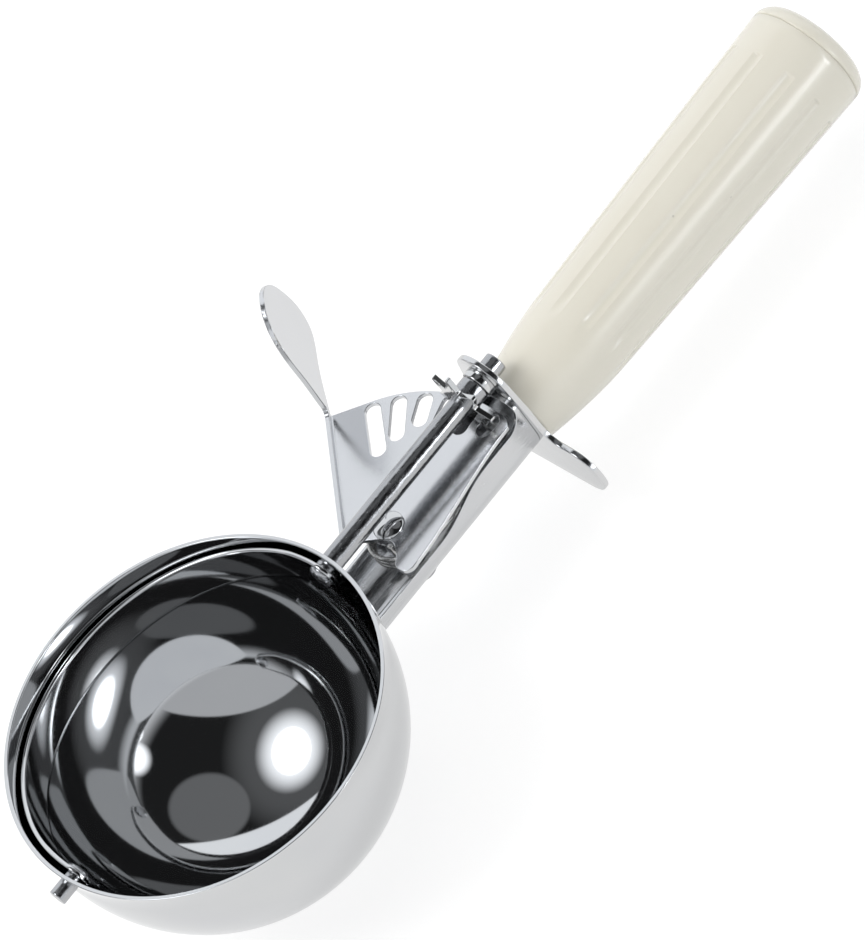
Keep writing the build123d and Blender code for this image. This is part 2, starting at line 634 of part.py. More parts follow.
pieces = {
    "bowl": make_bowl(),
    "scraper_blade": make_blade(),
    "blade_pivot_stud": make_stud(),
    "drive_shaft": make_shaft(),
    "pinion": make_pinion(),
    "pinion_hub": make_pinion_hub(),
    "guard_bush": make_guard_bush(),
    "guard_plate": make_guard(),
    "shank_channel": make_trough(),
    "shank_braze": make_braze(),
    "thumb_lever": make_thumb_lever(),
    "lever_post": make_lever_post(),
    "lever_rivet": make_lever_rivet(),
    "lever_washer": make_lever_washer(),
    "lever_spring": make_spring(),
    "handle_grip": make_handle(),
    "handle_end_cap": make_end_cap(),
    "handle_bolt": make_bolt(),
    "bolt_washer": make_bolt_washer(),
    "bolt_nut": make_bolt_nut(),
}

os.makedirs("parts", exist_ok=True)
for name, shape in pieces.items():
    export_step(shape, f"parts/{name}.step")
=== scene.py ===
"""A lever ice cream scoop: polished steel bowl, scraper, star wheel, fan lever, guard and ivory handle."""

import math

import bmesh
import bpy
import numpy as np
from bpy.props import FloatProperty, FloatVectorProperty, PointerProperty
from mathutils import Matrix, Vector


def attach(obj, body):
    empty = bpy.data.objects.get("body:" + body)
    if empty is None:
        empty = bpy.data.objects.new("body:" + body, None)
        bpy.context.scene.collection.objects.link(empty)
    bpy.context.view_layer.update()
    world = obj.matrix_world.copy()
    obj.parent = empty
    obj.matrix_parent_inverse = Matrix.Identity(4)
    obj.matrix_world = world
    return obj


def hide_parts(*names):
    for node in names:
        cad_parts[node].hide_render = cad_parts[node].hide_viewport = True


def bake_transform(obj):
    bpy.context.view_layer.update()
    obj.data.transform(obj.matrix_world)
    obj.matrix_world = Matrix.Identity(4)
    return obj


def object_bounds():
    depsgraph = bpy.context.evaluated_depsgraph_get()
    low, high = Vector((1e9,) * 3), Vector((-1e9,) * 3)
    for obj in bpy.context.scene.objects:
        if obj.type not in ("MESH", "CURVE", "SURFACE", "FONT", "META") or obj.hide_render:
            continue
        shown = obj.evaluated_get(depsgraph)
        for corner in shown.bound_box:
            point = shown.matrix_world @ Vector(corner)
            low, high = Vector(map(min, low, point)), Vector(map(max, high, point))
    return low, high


bl_info = {
    "name": "Lever ice cream scoop",
    "version": (1, 0, 0),
    "blender": (4, 5, 0),
    "location": "View3D > Sidebar > Scoop",
    "description": "Builds the finished surfaces, materials and stage of a lever ice cream scoop",
    "category": "Object",
}

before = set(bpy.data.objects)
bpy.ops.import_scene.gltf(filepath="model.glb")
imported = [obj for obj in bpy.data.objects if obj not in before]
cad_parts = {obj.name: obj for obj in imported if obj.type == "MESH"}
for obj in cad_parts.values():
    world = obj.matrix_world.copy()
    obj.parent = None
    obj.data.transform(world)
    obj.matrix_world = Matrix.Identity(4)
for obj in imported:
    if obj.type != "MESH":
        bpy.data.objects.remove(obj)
CAD_LOW, CAD_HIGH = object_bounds()

MM = 0.001

# Sizes and places are in millimetres from the centre of the bowl's rim: +X along the handle,
# +Y toward the thumb pad, +Z out of the bowl's mouth. Angles are in degrees.

# Bowl: a round shell with a short band that opens toward the rim.
BOWL_RADIUS = 37.4
BOWL_WALL = 0.8
BAND_HEIGHT = 5.2
RIM_RADIUS = 38.0

# Scraper strip: a band of a shell that is centred on the shaft's line.
STRIP_OUTER = 36.05
STRIP_INNER = 35.25
STRIP_HALF_WIDTH = 4.2
STRIP_CORNER = 0.132
STRIP_DROP = 9.0
TAB_RADIUS = 3.3
TAB_NECK = 6.5

# Shaft and stud, with the domed heads that hold the strip. A head is (along, radius) points.
SHAFT_Z = -3.4
SHAFT_RADIUS = 2.2
SHAFT_END = 86.8
STUD_RADIUS = 1.75
STUD_END = 41.0
NECK_RADIUS = 1.5
HEAD = [(34.05, 0.0), (34.1, 1.2), (34.4, 2.1), (34.9, 2.55), (35.15, 2.6)]

# Hub behind the star wheel, and the shaft's flanged bearing in the guard.
HUB_START, HUB_END, HUB_RADIUS = 77.2, 80.5, 2.9
FLANGE_START, FLANGE_END, FLANGE_RADIUS = 80.6, 82.4, 3.2
BEARING_END, BEARING_RADIUS, BEARING_BORE = 84.0, 2.8, 2.25

# Lever's pivot: the rivet in the post, and the washer under the fan.
PIVOT_X = 51.0
DOME_TOP, DOME_RADIUS, DOME_SWEEP = -7.9, 4.75, 40.0
RIVET_RADIUS, RIVET_EDGE_Z, RIVET_SEAT_Z = 3.1, -9.1, -9.35
RIVET_SHANK, RIVET_END_Z = 1.2, -14.35
WASHER_BORE, WASHER_RADIUS, WASHER_LOW, WASHER_HIGH = 2.05, 3.6, -10.75, -10.45

# Spring: its lower leg, coil and tip.
WIRE_RADIUS = 0.5
COIL_RADIUS = 5.3
COIL_LOW = -15.2
COIL_PITCH = 1.2
COIL_TURNS = 3 + 40.2 / 360
LEG_END = (65.0, -5.55, COIL_LOW)
BEND_RISE = 0.9
TIP_TOP = -8.4

# Handle: (along X, radius, slope) of its taper, and the spans (from, to, rings) of its mesh.
HANDLE_Z = -16.9
GRIP_FRONT, GRIP_SEAM, GRIP_BACK = 83.6, 171.45, 171.7
SEAM_RADIUS, BACK_RADIUS = 12.3, 12.05
TAPER = [
    (GRIP_FRONT, 7.8, 0.2),
    (90.0, 9.0, 0.165),
    (96.5, 9.9, 0.11),
    (103.0, 10.4, 0.03),
    (GRIP_SEAM, SEAM_RADIUS, 0.0277),
]
SPANS = [
    (GRIP_FRONT, 99.0, 22),
    (99.0, 107.0, 16),
    (107.0, 163.0, 40),
    (163.0, 164.4, 12),
    (164.4, GRIP_SEAM, 6),
]
BOLT_BORE, FRONT_FACE_RADIUS = 3.05, 7.4
COUNTERBORE, COUNTERBORE_FLOOR = 8.0, 163.0

# Flutes: ten round grooves that rise out toward the guard and stop square near the butt.
FLUTE_PITCH = 36.0
FLUTE_FIRST = 129.5
FLUTE_START, FLUTE_RUN_IN = 99.0, 7.0
FLUTE_END, FLUTE_STOP = 163.9, 0.45
FLUTE_POWER = 1.15

# End cap: almost a quarter round over a hollow spigot.
CAP_LENGTH = 3.6
CAP_SWEEP = 86.0
SPIGOT_END, SPIGOT_OUTER, SPIGOT_INNER = 168.2, 7.95, 6.55

SHAFT_LINE = Vector((0, 0, SHAFT_Z)) * MM
HANDLE_LINE = Vector((0, 0, HANDLE_Z)) * MM
PIVOT = Vector((PIVOT_X, 0, 0)) * MM

# Mesh cleaning: distances in metres, angles in degrees.
SAME_POINT = 1e-7
SAME_CAD_POINT = 1e-6
FLAT_ANGLE = 0.4
SHARP_ANGLE = 32

# Keeps a division safe where two points of a profile meet.
TINY = 1e-9

# The room's light. Each panel is a cone: leaning from straight up, bearing, reach, soft edge, level.
ROOM_DARK = 0.018
PANELS = [
    # The white floor and walls, to 18 degrees above the horizon and gone by 32.
    (180, 0, 108, 14, 0.93),
    # The round soft box: its wide glow, then its bright middle.
    (28.3, 152, 3, 22, 1.7),
    (28.3, 152, 0, 15.5, 6.5),
    # A small strong light draws the long highlight on the handle.
    (75.5, -69, 1, 9, 12.5),
    # A small weaker one beside it draws a spot in the bowl.
    (67, -56, 3, 9, 2.2),
    # Haze round the soft box.
    (31, 150.6, 26, 24, 0.12),
    # A dim round card above the handle shows as a disc in the bowl.
    (26.5, -11, 20, 3.5, 0.18),
    # A grey wall toward -X and -Y, and a pale one toward +X and +Y.
    (94.4, -139.4, 55, 1.5, 0.56),
    (100.2, 59.3, 69, 1.5, 1.08),
]
# Lamps: name, leaning, bearing, distance and diameter in metres, power in watts.
LAMPS = [
    ("soft_box", 31, 150.6, 1.1, 0.7, 3.0),
    ("overhead", 0, 0, 1.5, 1.5, 7.7),
]
WARM_WHITE = (1, 0.97, 0.93)
COOL_WHITE = (0.94, 0.965, 1, 1)

# White card: half its side and its gap under the object in metres, and how it shows.
FLOOR_HALF = 3.0
FLOOR_GAP = 0.0005
GLOW_SHARE = 0.66
GLOW_SEEN, GLOW_MIRRORED = 1.2, 1.0

# Camera: focal length in millimetres, place in metres, and where the image's right and top point.
FOCAL_LENGTH = 251.3
CAMERA_PLACE = (-0.1722, -0.7542, 0.8990)
IMAGE_RIGHT = (0.6202, -0.6752, -0.3994)
IMAGE_UP = (0.7595, 0.3893, 0.5211)


# ---------------------------------------------------------------- colours and nodes


def linear(code):
    """An sRGB hex colour as linear red, green, blue and alpha."""
    parts = [int(code[i : i + 2], 16) / 255 for i in (1, 3, 5)]
    return [p / 12.92 if p <= 0.04045 else ((p + 0.055) / 1.055) ** 2.4 for p in parts] + [1.0]


def add(tree, kind, settings=None, inputs=None):
    """Adds a node; inputs maps a socket's name or number to a value or to another node's output."""
    node = tree.nodes.new(kind)
    for key, value in (settings or {}).items():
        setattr(node, key, value)
    for key, value in (inputs or {}).items():
        if isinstance(value, bpy.types.NodeSocket):
            tree.links.new(value, node.inputs[key])
        else:
            node.inputs[key].default_value = value
    return node


def new_material(name):
    """An empty node material and its tree, its shader and its object coordinates."""
    material = bpy.data.materials.new(name)
    material.use_nodes = True
    tree = material.node_tree
    tree.nodes.clear()
    shader = add(tree, "ShaderNodeBsdfPrincipled")
    add(tree, "ShaderNodeOutputMaterial", inputs={"Surface": shader.outputs["BSDF"]})
    place = add(tree, "ShaderNodeTexCoord").outputs["Object"]
    return material, tree, shader, place


def metal(name, colour, tint, roughness, spread, grain_mm, bump_mm, stretch=(1, 1, 1)):
    """Bare metal: fine marks of grain_mm vary its roughness and height, clouds of 17 mm its colour.

    The marks are noise in object coordinates. A factor of stretch under 1 draws them out along
    that axis, and one over 1 makes them short there. Real marks are mostly finer than 0.1 mm, and
    are drawn coarser, at 0.2 to 0.6 mm, so that they show.
    """
    material, tree, shader, place = new_material(name)
    scaled = add(tree, "ShaderNodeMapping", inputs={"Vector": place, "Scale": stretch})
    marks = add(
        tree,
        "ShaderNodeTexNoise",
        inputs={"Vector": scaled.outputs[0], "Scale": 1 / (grain_mm * MM), "Detail": 4.0, "Roughness": 0.6},
    )
    cloud = add(tree, "ShaderNodeTexNoise", inputs={"Vector": place, "Scale": 60.0, "Detail": 2.0})
    rough = add(
        tree,
        "ShaderNodeMapRange",
        inputs={
            "Value": marks.outputs["Fac"],
            "From Min": 0.3,
            "From Max": 0.7,
            "To Min": max(roughness - spread, 0.0),
            "To Max": roughness + spread,
        },
    )
    base = add(
        tree,
        "ShaderNodeMix",
        {"data_type": "RGBA"},
        {0: cloud.outputs["Fac"], 6: linear(colour), 7: linear(tint)},
    )
    height = add(
        tree,
        "ShaderNodeBump",
        inputs={"Height": marks.outputs["Fac"], "Distance": bump_mm * MM, "Strength": 0.5},
    )
    shader.inputs["Metallic"].default_value = 1.0
    tree.links.new(base.outputs[2], shader.inputs["Base Color"])
    tree.links.new(rough.outputs[0], shader.inputs["Roughness"])
    tree.links.new(height.outputs[0], shader.inputs["Normal"])


def ivory_plastic(colour):
    """Moulded melamine plastic: a warm off-white with a soft gloss.

    Clouds of 11 mm yellow it a little, a rare dark speck is at most 0.6 mm wide, and ripples of
    4 mm break up its gloss.
    """
    material, tree, shader, place = new_material("moulded_ivory_plastic")
    yellowed = [c * f for c, f in zip(colour, (0.97, 0.965, 0.95))] + [1.0]
    cloud = add(tree, "ShaderNodeTexNoise", inputs={"Vector": place, "Scale": 90.0, "Detail": 3.0})
    body = add(
        tree,
        "ShaderNodeMix",
        {"data_type": "RGBA"},
        {0: cloud.outputs["Fac"], 6: colour, 7: yellowed},
    )
    speck = add(tree, "ShaderNodeTexVoronoi", inputs={"Vector": place, "Scale": 95.0, "Randomness": 1.0})
    dots = add(
        tree,
        "ShaderNodeMapRange",
        inputs={
            "Value": speck.outputs["Distance"],
            "From Min": 0.012,
            "From Max": 0.03,
            "To Min": 0.35,
            "To Max": 0.0,
        },
    )
    spotted = add(
        tree,
        "ShaderNodeMix",
        {"data_type": "RGBA"},
        {0: dots.outputs[0], 6: body.outputs[2], 7: linear("#6B6458")},
    )
    ripple = add(tree, "ShaderNodeTexNoise", inputs={"Vector": place, "Scale": 260.0, "Detail": 2.0})
    rough = add(
        tree,
        "ShaderNodeMapRange",
        inputs={"Value": ripple.outputs["Fac"], "To Min": 0.16, "To Max": 0.24},
    )
    height = add(
        tree,
        "ShaderNodeBump",
        inputs={"Height": ripple.outputs["Fac"], "Distance": 0.02 * MM, "Strength": 0.35},
    )
    tree.links.new(spotted.outputs[2], shader.inputs["Base Color"])
    tree.links.new(rough.outputs[0], shader.inputs["Roughness"])
    tree.links.new(height.outputs[0], shader.inputs["Normal"])
    shader.inputs["IOR"].default_value = 1.55
    shader.inputs["Coat Weight"].default_value = 0.25
    shader.inputs["Coat Roughness"].default_value = 0.12


# ---------------------------------------------------------------- surfaces


def new_piece(name, mesh):
    """An object for the mesh, shaded smooth, in the scene."""
    mesh.polygons.foreach_set("use_smooth", np.ones(len(mesh.polygons), bool))
    piece = bpy.data.objects.new(name, mesh)
    bpy.context.scene.collection.objects.link(piece)
    return piece


def grid_mesh(name, points, wrap_rows=False, close_ends=False):
    """A piece through a grid of points (rows, columns, 3) in metres, joined into quads.

    The columns run round a ring. Rows wrap round too where asked, and close_ends puts a face on
    the first and last row.
    """
    rows, columns = points.shape[:2]
    row = np.arange(rows if wrap_rows else rows - 1)
    r, c = np.meshgrid(row, np.arange(columns), indexing="ij")
    r2, c2 = (r + 1) % rows, (c + 1) % columns
    quads = np.stack([r * columns + c, r * columns + c2, r2 * columns + c2, r2 * columns + c], -1)
    faces = quads.reshape(-1, 4).tolist()
    if close_ends:
        faces.append(tuple(range(columns - 1, -1, -1)))
        faces.append(tuple(range((rows - 1) * columns, rows * columns)))
    mesh = bpy.data.meshes.new(name)
    mesh.from_pydata(points.reshape(-1, 3).tolist(), [], faces)
    clean = bmesh.new()
    clean.from_mesh(mesh)
    bmesh.ops.remove_doubles(clean, verts=clean.verts, dist=SAME_POINT)
    bmesh.ops.recalc_face_normals(clean, faces=clean.faces)
    clean.to_mesh(mesh)
    clean.free()
    return new_piece(name, mesh)


def rounded(points, radius, steps=4):
    """A polyline (n, 2) with each inner corner cut by a quadratic curve.

    The curve starts and ends at the radius from the corner, or at 0.45 of a shorter side:
    point = (1 - t)^2 start + 2 t (1 - t) corner + t^2 end.
    """
    out = [points[0]]
    for before, here, after in zip(points[:-2], points[1:-1], points[2:]):
        a, b, c = (np.array(p, float) for p in (before, here, after))
        cut = min(radius, 0.45 * np.linalg.norm(a - b), 0.45 * np.linalg.norm(c - b))
        start = b + (a - b) / max(np.linalg.norm(a - b), TINY) * cut
        end = b + (c - b) / max(np.linalg.norm(c - b), TINY) * cut
        t = np.linspace(0, 1, steps + 1)[:, None]
        out.extend(((1 - t) ** 2 * start + 2 * t * (1 - t) * b + t**2 * end).tolist())
    out.append(points[-1])
    return np.array(out, float)


def turned(name, profile, line, axis="X", steps=64):
    """A surface of revolution: each (along, radius) of the profile in mm is carried round the line."""
    profile = np.asarray(profile, float) * MM
    angle = np.linspace(0, 2 * math.pi, steps, endpoint=False)
    along = np.repeat(profile[:, :1], steps, 1)
    side, up = profile[:, 1:] * np.cos(angle), profile[:, 1:] * np.sin(angle)
    order = (along, side, up) if axis == "X" else (side, up, along)
    points = np.stack(order, -1) + np.array(line)
    return grid_mesh(name, points)


def arc(centre, radius, start, end, count):
    """Points on a circle in a plane, from one angle to another."""
    t = np.radians(np.linspace(start, end, count))
    return np.stack([centre[0] + radius * np.cos(t), centre[1] + radius * np.sin(t)], -1)


def tube(name, path, radius, sides=20):
    """A round wire: a circle carried along the path, held square to it by parallel transport."""
    path = np.asarray(path, float)
    tangent = np.gradient(path, axis=0)
    tangent /= np.linalg.norm(tangent, axis=1)[:, None]
    normal = np.zeros_like(path)
    normal[0] = np.cross(tangent[0], (0.3, 0.5, 0.8))
    normal[0] /= np.linalg.norm(normal[0])
    for i in range(1, len(path)):
        n = normal[i - 1] - tangent[i] * (normal[i - 1] @ tangent[i])
        normal[i] = n / np.linalg.norm(n)
    other = np.cross(tangent, normal)
    angle = np.linspace(0, 2 * math.pi, sides, endpoint=False)[None, :, None]
    ring = np.cos(angle) * normal[:, None] + np.sin(angle) * other[:, None]
    return grid_mesh(name, (path[:, None] + radius * ring) * MM, close_ends=True)


def dressed_copy(node, name, edge_mm):
    """A merged copy of a CAD node that shades smooth, with a round of edge_mm on its true edges."""
    work = bmesh.new()
    work.from_mesh(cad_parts[node].data)
    bmesh.ops.remove_doubles(work, verts=work.verts, dist=SAME_CAD_POINT)
    bmesh.ops.dissolve_limit(
        work,
        angle_limit=math.radians(FLAT_ANGLE),
        verts=work.verts,
        edges=work.edges,
        use_dissolve_boundaries=False,
    )
    mesh = bpy.data.meshes.new(name)
    work.to_mesh(mesh)
    work.free()
    piece = new_piece(name, mesh)
    mesh.set_sharp_from_angle(angle=math.radians(SHARP_ANGLE))
    if edge_mm:
        bevel = piece.modifiers.new("edge", "BEVEL")
        bevel.width = edge_mm * MM
        bevel.segments = 2
        bevel.limit_method = "ANGLE"
        bevel.angle_limit = math.radians(SHARP_ANGLE)
        bevel.use_clamp_overlap = False
        bevel.harden_normals = True
    return piece


def fit_in(piece, body, slot, material, *nodes):
    """Gives the piece its material, and puts it in place of its CAD nodes; the slot is not used.

    It rides on the body. A piece with no body rides on none.
    """
    piece.data.materials.clear()
    piece.data.materials.append(bpy.data.materials[material])
    if body:
        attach(piece, body)
    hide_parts(*nodes)


# ---------------------------------------------------------------- user settings


class ScoopSizes(bpy.types.PropertyGroup):
    """Sizes and colours of the finished surfaces."""

    rim_edge: FloatProperty(
        name="Rim edge",
        description="Round on the bowl's rim",
        default=0.36 * MM,
        min=0.0,
        unit="LENGTH",
    )
    sheet_edge: FloatProperty(
        name="Sheet edge",
        description="Round on the edges of the stamped sheets",
        default=0.16 * MM,
        unit="LENGTH",
    )
    flute_depth: FloatProperty(
        name="Flute depth",
        description="Depth of the handle's grooves",
        default=0.42 * MM,
        min=0.0,
        unit="LENGTH",
    )
    flute_width: FloatProperty(
        name="Flute width",
        description="Width of the handle's grooves",
        default=2.3 * MM,
        min=0.0,
        unit="LENGTH",
    )
    handle_colour: FloatVectorProperty(
        name="Handle colour",
        description="Linear colour of the ivory plastic",
        default=linear("#DEDACD")[:3],
        subtype="COLOR",
        size=3,
    )


# ---------------------------------------------------------------- operators


class SCOOP_OT_materials(bpy.types.Operator):
    """Makes the finished materials of the plastic, the sheets, the bars, the spring and the fasteners"""

    bl_idname = "scoop.materials"
    bl_label = "Materials"

    def execute(self, context):
        ivory_plastic(list(context.scene.scoop.handle_colour) + [1.0])
        # Mirror polish: its wheel marks only soften the reflection a little.
        metal("polished_stainless_steel", "#CECFD0", "#D6D6D6", 0.05, 0.025, 0.5, 0.002)
        # Spun and buffed: the marks are short along the bowl's axis, so they run round it.
        metal("spun_stainless_steel", "#CDCED0", "#D4D5D5", 0.045, 0.02, 0.6, 0.001, (1, 1, 6))
        # Stamped sheet, buffed less: a soft gloss.
        metal("buffed_stainless_sheet", "#D0D1D1", "#D8D8D7", 0.1, 0.04, 0.35, 0.003, (3, 1, 1))
        # The fan is the palest sheet: a satin face that mirrors nothing sharply.
        metal("satin_stainless_sheet", "#D3D4D6", "#DADBDD", 0.17, 0.06, 0.35, 0.004, (3, 1, 1))
        # The trough is brushed along its length: satin, with streaks of about 3 mm.
        metal("brushed_stainless_sheet", "#CBCCCE", "#D6D7D8", 0.2, 0.08, 0.4, 0.01, (0.15, 1, 1))
        # The guard is tumbled smooth: an even sheen between satin and mirror.
        metal("tumbled_stainless_sheet", "#D0D1D2", "#D8D8D8", 0.14, 0.05, 0.4, 0.004)
        # Drawn bar: pits and lines drawn out along X, darker than the sheets.
        metal("drawn_stainless_bar", "#A2A3A5", "#BFC0C2", 0.2, 0.12, 0.6, 0.06, (0.35, 1, 1))
        # Drawn spring wire: dull grey with a faint grain.
        metal("spring_wire", "#A9A9A8", "#B9B9B7", 0.25, 0.06, 0.2, 0.004)
        # Zinc plate: a cool grey and rather dull coat on the fasteners.
        metal("zinc_plated_steel", "#B9BBBD", "#C9CACA", 0.3, 0.08, 0.3, 0.01)
        return {"FINISHED"}


class SCOOP_OT_bowl(bpy.types.Operator):
    """Spins the bowl: outside round part, opening band, rounded rim, and the same inside"""

    bl_idname = "scoop.bowl"
    bl_label = "Bowl"

    def execute(self, context):
        outside, inside = self.skin(0.0), self.skin(BOWL_WALL)
        lip = rounded(
            [outside[-2], outside[-1], (0.0, RIM_RADIUS - BOWL_WALL / 2), inside[-1], inside[-2]],
            context.scene.scoop.rim_edge / MM,
            steps=5,
        )
        profile = np.concatenate([outside[:-2], lip, inside[:-2][::-1]])
        bowl = turned("bowl_shell", profile, (0, 0, 0), axis="Z", steps=320)
        fit_in(bowl, "frame", "polished_steel", "spun_stainless_steel", "bowl")
        return {"FINISHED"}

    def skin(self, inset):
        """Half the bowl's section, as (height, radius): a quarter circle, then the band.

        In the band the radius grows to the rim's with the square of the height.
        """
        t = np.radians(np.linspace(-90, 0, 110))
        rise = np.linspace(0, 1, 14)[1:]
        radius = BOWL_RADIUS - inset
        low = np.stack([-BAND_HEIGHT + radius * np.sin(t), radius * np.cos(t)], -1)
        high = np.stack(
            [-BAND_HEIGHT + BAND_HEIGHT * rise, radius + (RIM_RADIUS - BOWL_RADIUS) * rise**2], -1
        )
        return np.concatenate([low, high])


class SCOOP_OT_scraper(bpy.types.Operator):
    """Forms the scraper strip, its stud and the drive shaft that turns it"""

    bl_idname = "scoop.scraper"
    bl_label = "Scraper"

    def execute(self, context):
        strip = grid_mesh("scraper_strip", self.strip() * MM + np.array(SHAFT_LINE))
        fit_in(strip, "scraper", "polished_steel", "polished_stainless_steel", "scraper_blade")

        seat = HEAD[-1][0]
        head = HEAD + [(seat, NECK_RADIUS), (STRIP_OUTER, NECK_RADIUS)]
        ends = [(STRIP_OUTER, SHAFT_RADIUS), (SHAFT_END, SHAFT_RADIUS), (SHAFT_END, 0.0)]
        shaft = turned("drive_rod", rounded(head + ends, 0.35), SHAFT_LINE)
        fit_in(shaft, "scraper", "turned_steel", "drawn_stainless_bar", "drive_shaft")

        ends = [(STRIP_OUTER, STUD_RADIUS), (STUD_END, STUD_RADIUS), (STUD_END, 0.0)]
        stud = turned("pivot_stud", rounded(head + ends, 0.3) * (-1, 1), SHAFT_LINE)
        fit_in(stud, "scraper", "turned_steel", "drawn_stainless_bar", "blade_pivot_stud")
        return {"FINISHED"}

    def strip(self):
        """The strip's rings of points, round its section and along beta from end to end.

        A point is its radius times (cos w sin beta, cos w cos beta, sin w), turned down about the
        shaft's line by the drop. The angle w runs across the strip. The half width is a round tab's
        behind the shaft's line, and grows from the tab's to the full one over the neck.
        """
        middle = (STRIP_OUTER + STRIP_INNER) / 2
        tab = -TAB_RADIUS * np.cos(np.radians(np.linspace(0.0, 90.0, 14)))
        reach = np.concatenate([tab, np.linspace(0.4, TAB_NECK, 10)])
        end = np.pi / 2 - np.arcsin(reach / middle)
        beta = np.concatenate([end, np.linspace(end[-1], 0, 60)[1:]])
        reach = middle * np.cos(beta)
        half_width = np.where(
            reach < 0,
            np.sqrt(np.clip(TAB_RADIUS**2 - reach**2, 0, None)),
            TAB_RADIUS + (STRIP_HALF_WIDTH - TAB_RADIUS) * np.clip(reach / TAB_NECK, 0, 1),
        )
        beta = np.concatenate([beta, -beta[::-1][1:]])[:, None]
        half_width = np.concatenate([half_width, half_width[::-1][1:]])[:, None]

        # The section: across the outer face, in along one side, back across the inner face, and out.
        face, side = np.linspace(-1, 1, 13), np.linspace(0.6, -0.6, 4)
        across = np.concatenate([face, np.ones(4), -face, -np.ones(4)])
        level = np.concatenate([np.ones(13), side, -np.ones(13), -side])
        corner = (np.abs(across) == 1) & (np.abs(level) == 1)
        cut = np.minimum(np.where(corner, STRIP_CORNER, 0.0), half_width)
        w = np.arcsin((half_width * across - np.sign(across) * cut) / middle)

        radius = middle + level * (STRIP_OUTER - STRIP_INNER) / 2
        along = radius * np.cos(w) * np.sin(beta)
        out = radius * np.cos(w) * np.cos(beta)
        up = radius * np.sin(w)
        drop = math.radians(STRIP_DROP)
        y = out * math.cos(drop) + up * math.sin(drop)
        z = -out * math.sin(drop) + up * math.cos(drop)
        return np.stack([along, y, z], -1)


class SCOOP_OT_gear(bpy.types.Operator):
    """Finishes the star wheel, its hub and the shaft's bearing in the guard"""

    bl_idname = "scoop.gear"
    bl_label = "Star wheel and bearing"

    def execute(self, context):
        star = dressed_copy("pinion", "star_wheel", 0.08)
        fit_in(star, "scraper", "polished_steel", "buffed_stainless_sheet", "pinion")
        section = [
            (HUB_START, SHAFT_RADIUS),
            (HUB_START, HUB_RADIUS),
            (HUB_END, HUB_RADIUS),
            (HUB_END, SHAFT_RADIUS),
            (HUB_START, SHAFT_RADIUS),
        ]
        hub = turned("star_hub", rounded(section, 0.25), SHAFT_LINE)
        fit_in(hub, "scraper", "turned_steel", "drawn_stainless_bar", "pinion_hub")
        section = [
            (FLANGE_START, BEARING_BORE),
            (FLANGE_START, FLANGE_RADIUS),
            (FLANGE_END, FLANGE_RADIUS),
            (FLANGE_END, BEARING_RADIUS),
            (BEARING_END, BEARING_RADIUS),
            (BEARING_END, BEARING_BORE),
            (FLANGE_START, BEARING_BORE),
        ]
        bearing = turned("guard_bearing", rounded(section, 0.25), SHAFT_LINE)
        fit_in(bearing, "frame", "turned_steel", "buffed_stainless_sheet", "guard_bush")
        return {"FINISHED"}


class SCOOP_OT_guard(bpy.types.Operator):
    """Finishes the finger guard and the trough that joins it to the bowl"""

    bl_idname = "scoop.guard"
    bl_label = "Guard and trough"

    def execute(self, context):
        guard = dressed_copy("guard_plate", "finger_guard", 0)
        fit_in(guard, "frame", "polished_steel", "tumbled_stainless_sheet", "guard_plate")
        trough = dressed_copy("shank_channel", "trough", context.scene.scoop.sheet_edge / MM)
        fit_in(trough, "frame", "polished_steel", "brushed_stainless_sheet", "shank_channel")
        # The bead wears the frame's own silver_solder: plain, faintly yellow and half dull, without marks.
        bead = dressed_copy("shank_braze", "solder_bead", 0)
        fit_in(bead, "frame", "silver_solder", "silver_solder", "shank_braze")
        return {"FINISHED"}


class SCOOP_OT_lever(bpy.types.Operator):
    """Finishes the slotted fan with its thumb pad"""

    bl_idname = "scoop.lever"
    bl_label = "Thumb lever"

    def execute(self, context):
        lever = dressed_copy("thumb_lever", "fan_lever", context.scene.scoop.sheet_edge / MM)
        fit_in(lever, "lever", "polished_steel", "satin_stainless_sheet", "thumb_lever")
        return {"FINISHED"}


